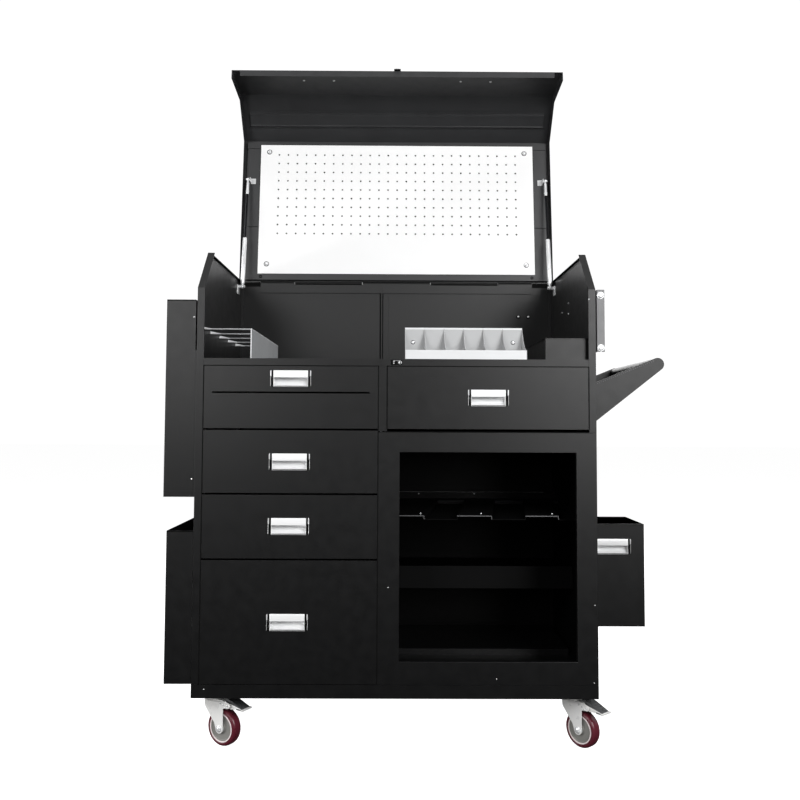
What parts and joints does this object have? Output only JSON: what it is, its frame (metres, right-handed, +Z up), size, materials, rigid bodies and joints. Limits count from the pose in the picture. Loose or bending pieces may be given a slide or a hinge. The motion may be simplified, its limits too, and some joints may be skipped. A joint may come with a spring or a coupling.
{
  "type": "rolling tool chest",
  "caption": "Steel tool chest on swivel casters with drawers, an open bay, a lift-up lid with a peg panel, hung side bins and a push handle.",
  "frame": {"origin": "middle of the bounding box, at floor level under the casters", "axes": "+X to the right seen from the front, +Y from the front to the back, +Z up"},
  "size_m": [1.383, 0.7114, 2.0723],
  "materials": {
    "black_paint": "satin black powder coat",
    "inner_paint": "satin black powder coat, inner faces",
    "grey_paint": "light grey satin coat",
    "white_paint": "white satin coat",
    "pull_aluminium": "satin anodised",
    "bright_chrome": "bright plated",
    "dark_steel": "dark nitrided rod with a bright end",
    "zinc_plate": "zinc plated",
    "maroon_tread": "glossy maroon polyurethane tread on a grey core"
  },
  "bodies": {
    "cabinet": {"left_side_panel": "black_paint", "right_side_panel": "black_paint", "back_panel": "inner_paint", "base_pan": "black_paint", "centre_partition": "black_paint", "deck": "black_paint", "lock_strike": "bright_chrome", "bay_ceiling": "inner_paint", "bay_face_frame": "black_paint", "bay_tool_rack": "inner_paint", "bay_shelf": "inner_paint", "left_runner_frame": "zinc_plate", "right_runner_frame": "zinc_plate", "cabinet_hinge_leaf": "black_paint", "left_strut_lower_bracket": "bright_chrome", "right_strut_lower_bracket": "bright_chrome", "bottle_rack": "grey_paint", "six_bin_tray": "grey_paint", "tape_box": "black_paint", "left_locker": "black_paint", "left_bin": "black_paint", "side_hanger_bracket": "black_paint", "handle_front_plate": "black_paint", "handle_rear_plate": "black_paint", "handle_bar": "black_paint"},
    "lid": {"lid_shell": "black_paint", "lid_inner_frame": "inner_paint", "peg_panel": "white_paint", "lid_hinge_leaf": "black_paint", "lid_lock": "black_paint", "left_strut_upper_bracket": "bright_chrome", "right_strut_upper_bracket": "bright_chrome"},
    "lock_barrel": {"lock_barrel": "bright_chrome"},
    "right_bin": {"right_bin": "black_paint", "right_bin_pull": "pull_aluminium"},
    "drawer_1": {"drawer_1": "black_paint", "drawer_1_pull": "pull_aluminium"},
    "drawer_2": {"drawer_2": "black_paint", "drawer_2_pull": "pull_aluminium"},
    "drawer_3": {"drawer_3": "black_paint", "drawer_3_pull": "pull_aluminium"},
    "drawer_4": {"drawer_4": "black_paint", "drawer_4_pull": "pull_aluminium"},
    "drawer_5": {"drawer_5": "black_paint", "drawer_5_pull": "pull_aluminium"},
    "left_strut_tube": {"left_strut_tube": "bright_chrome"},
    "left_strut_rod": {"left_strut_rod": "dark_steel"},
    "right_strut_tube": {"right_strut_tube": "bright_chrome"},
    "right_strut_rod": {"right_strut_rod": "dark_steel"},
    "front_left_caster": {"front_left_caster_fork": "zinc_plate"},
    "front_left_caster_wheel": {"front_left_caster_wheel": "maroon_tread"},
    "front_left_caster_pedal": {"front_left_caster_pedal": "zinc_plate"},
    "front_right_caster": {"front_right_caster_fork": "zinc_plate"},
    "front_right_caster_wheel": {"front_right_caster_wheel": "maroon_tread"},
    "front_right_caster_pedal": {"front_right_caster_pedal": "zinc_plate"},
    "rear_left_caster": {"rear_left_caster_fork": "zinc_plate"},
    "rear_left_caster_wheel": {"rear_left_caster_wheel": "maroon_tread"},
    "rear_right_caster": {"rear_right_caster_fork": "zinc_plate"},
    "rear_right_caster_wheel": {"rear_right_caster_wheel": "maroon_tread"}
  },
  "joints": [
    {"name": "lid_hinge", "type": "hinge", "parent": "cabinet", "child": "lid", "pos_m": [-0.0575, 0.2995, 1.3846], "axis": [1, 0, 0], "range_deg": [0, 95.8]},
    {"name": "lock_turn", "type": "hinge", "parent": "lid", "child": "lock_barrel", "pos_m": [-0.0575, 0.09034, 2.06854], "axis": [0, 0.1011, 0.9949], "range_deg": [0, 90]},
    {"name": "left_strut_swing", "type": "hinge", "parent": "cabinet", "child": "left_strut_tube", "pos_m": [-0.5905, 0.2295, 1.36], "axis": [1, 0, 0], "range_deg": [0, 101.81]},
    {"name": "left_strut_slide", "type": "slide", "parent": "left_strut_tube", "child": "left_strut_rod", "axis": [0, -0.2031, -0.9792], "range_m": [0, 0.10383]},
    {"name": "right_strut_swing", "type": "hinge", "parent": "cabinet", "child": "right_strut_tube", "pos_m": [0.4755, 0.2295, 1.36], "axis": [1, 0, 0], "range_deg": [0, 101.81]},
    {"name": "right_strut_slide", "type": "slide", "parent": "right_strut_tube", "child": "right_strut_rod", "axis": [0, -0.2031, -0.9792], "range_m": [0, 0.10383]},
    {"name": "drawer_1_slide", "type": "slide", "parent": "cabinet", "child": "drawer_1", "axis": [0, -1, 0], "range_m": [0, 0.5]},
    {"name": "drawer_2_slide", "type": "slide", "parent": "cabinet", "child": "drawer_2", "axis": [0, -1, 0], "range_m": [0, 0.5]},
    {"name": "drawer_3_slide", "type": "slide", "parent": "cabinet", "child": "drawer_3", "axis": [0, -1, 0], "range_m": [0, 0.5]},
    {"name": "drawer_4_slide", "type": "slide", "parent": "cabinet", "child": "drawer_4", "axis": [0, -1, 0], "range_m": [0, 0.5]},
    {"name": "drawer_5_slide", "type": "slide", "parent": "cabinet", "child": "drawer_5", "axis": [0, -1, 0], "range_m": [0, 0.5]},
    {"name": "right_bin_lift", "type": "slide", "parent": "cabinet", "child": "right_bin", "axis": [0, 0, 1], "range_m": [0, 0.04]},
    {"name": "front_left_caster_swivel", "type": "hinge", "parent": "cabinet", "child": "front_left_caster", "pos_m": [-0.5575, -0.2585, 0.14], "axis": [0, 0, 1], "continuous": true},
    {"name": "front_left_caster_roll", "type": "hinge", "parent": "front_left_caster", "child": "front_left_caster_wheel", "pos_m": [-0.52993, -0.27475, 0.05], "axis": [0.5075, 0.8616, 0], "continuous": true},
    {"name": "front_left_caster_brake", "type": "hinge", "parent": "front_left_caster", "child": "front_left_caster_pedal", "pos_m": [-0.50408, -0.28997, 0.116], "axis": [0.5075, 0.8616, 0], "range_deg": [0, 12]},
    {"name": "front_right_caster_swivel", "type": "hinge", "parent": "cabinet", "child": "front_right_caster", "pos_m": [0.4425, -0.2585, 0.14], "axis": [0, 0, 1], "continuous": true},
    {"name": "front_right_caster_roll", "type": "hinge", "parent": "front_right_caster", "child": "front_right_caster_wheel", "pos_m": [0.46307, -0.28302, 0.05], "axis": [0.766, 0.6428, 0], "continuous": true},
    {"name": "front_right_caster_brake", "type": "hinge", "parent": "front_right_caster", "child": "front_right_caster_pedal", "pos_m": [0.48235, -0.306, 0.116], "axis": [0.766, 0.6428, 0], "range_deg": [0, 12]},
    {"name": "rear_left_caster_swivel", "type": "hinge", "parent": "cabinet", "child": "rear_left_caster", "pos_m": [-0.5575, 0.2195, 0.14], "axis": [0, 0, 1], "continuous": true},
    {"name": "rear_left_caster_roll", "type": "hinge", "parent": "rear_left_caster", "child": "rear_left_caster_wheel", "pos_m": [-0.58521, 0.2355, 0.05], "axis": [-0.5, -0.866, 0], "continuous": true},
    {"name": "rear_right_caster_swivel", "type": "hinge", "parent": "cabinet", "child": "rear_right_caster", "pos_m": [0.4425, 0.2195, 0.14], "axis": [0, 0, 1], "continuous": true},
    {"name": "rear_right_caster_roll", "type": "hinge", "parent": "rear_right_caster", "child": "rear_right_caster_wheel", "pos_m": [0.46871, 0.23785, 0.05], "axis": [-0.5736, 0.8192, 0], "continuous": true}
  ],
  "couplings": [
    {"joint": "left_strut_swing", "follows": "lid_hinge", "ratio": 1.0626},
    {"joint": "left_strut_slide", "follows": "lid_hinge", "m_per_rad": 0.062037},
    {"joint": "right_strut_swing", "follows": "lid_hinge", "ratio": 1.0626},
    {"joint": "right_strut_slide", "follows": "lid_hinge", "m_per_rad": 0.062037}
  ]
}
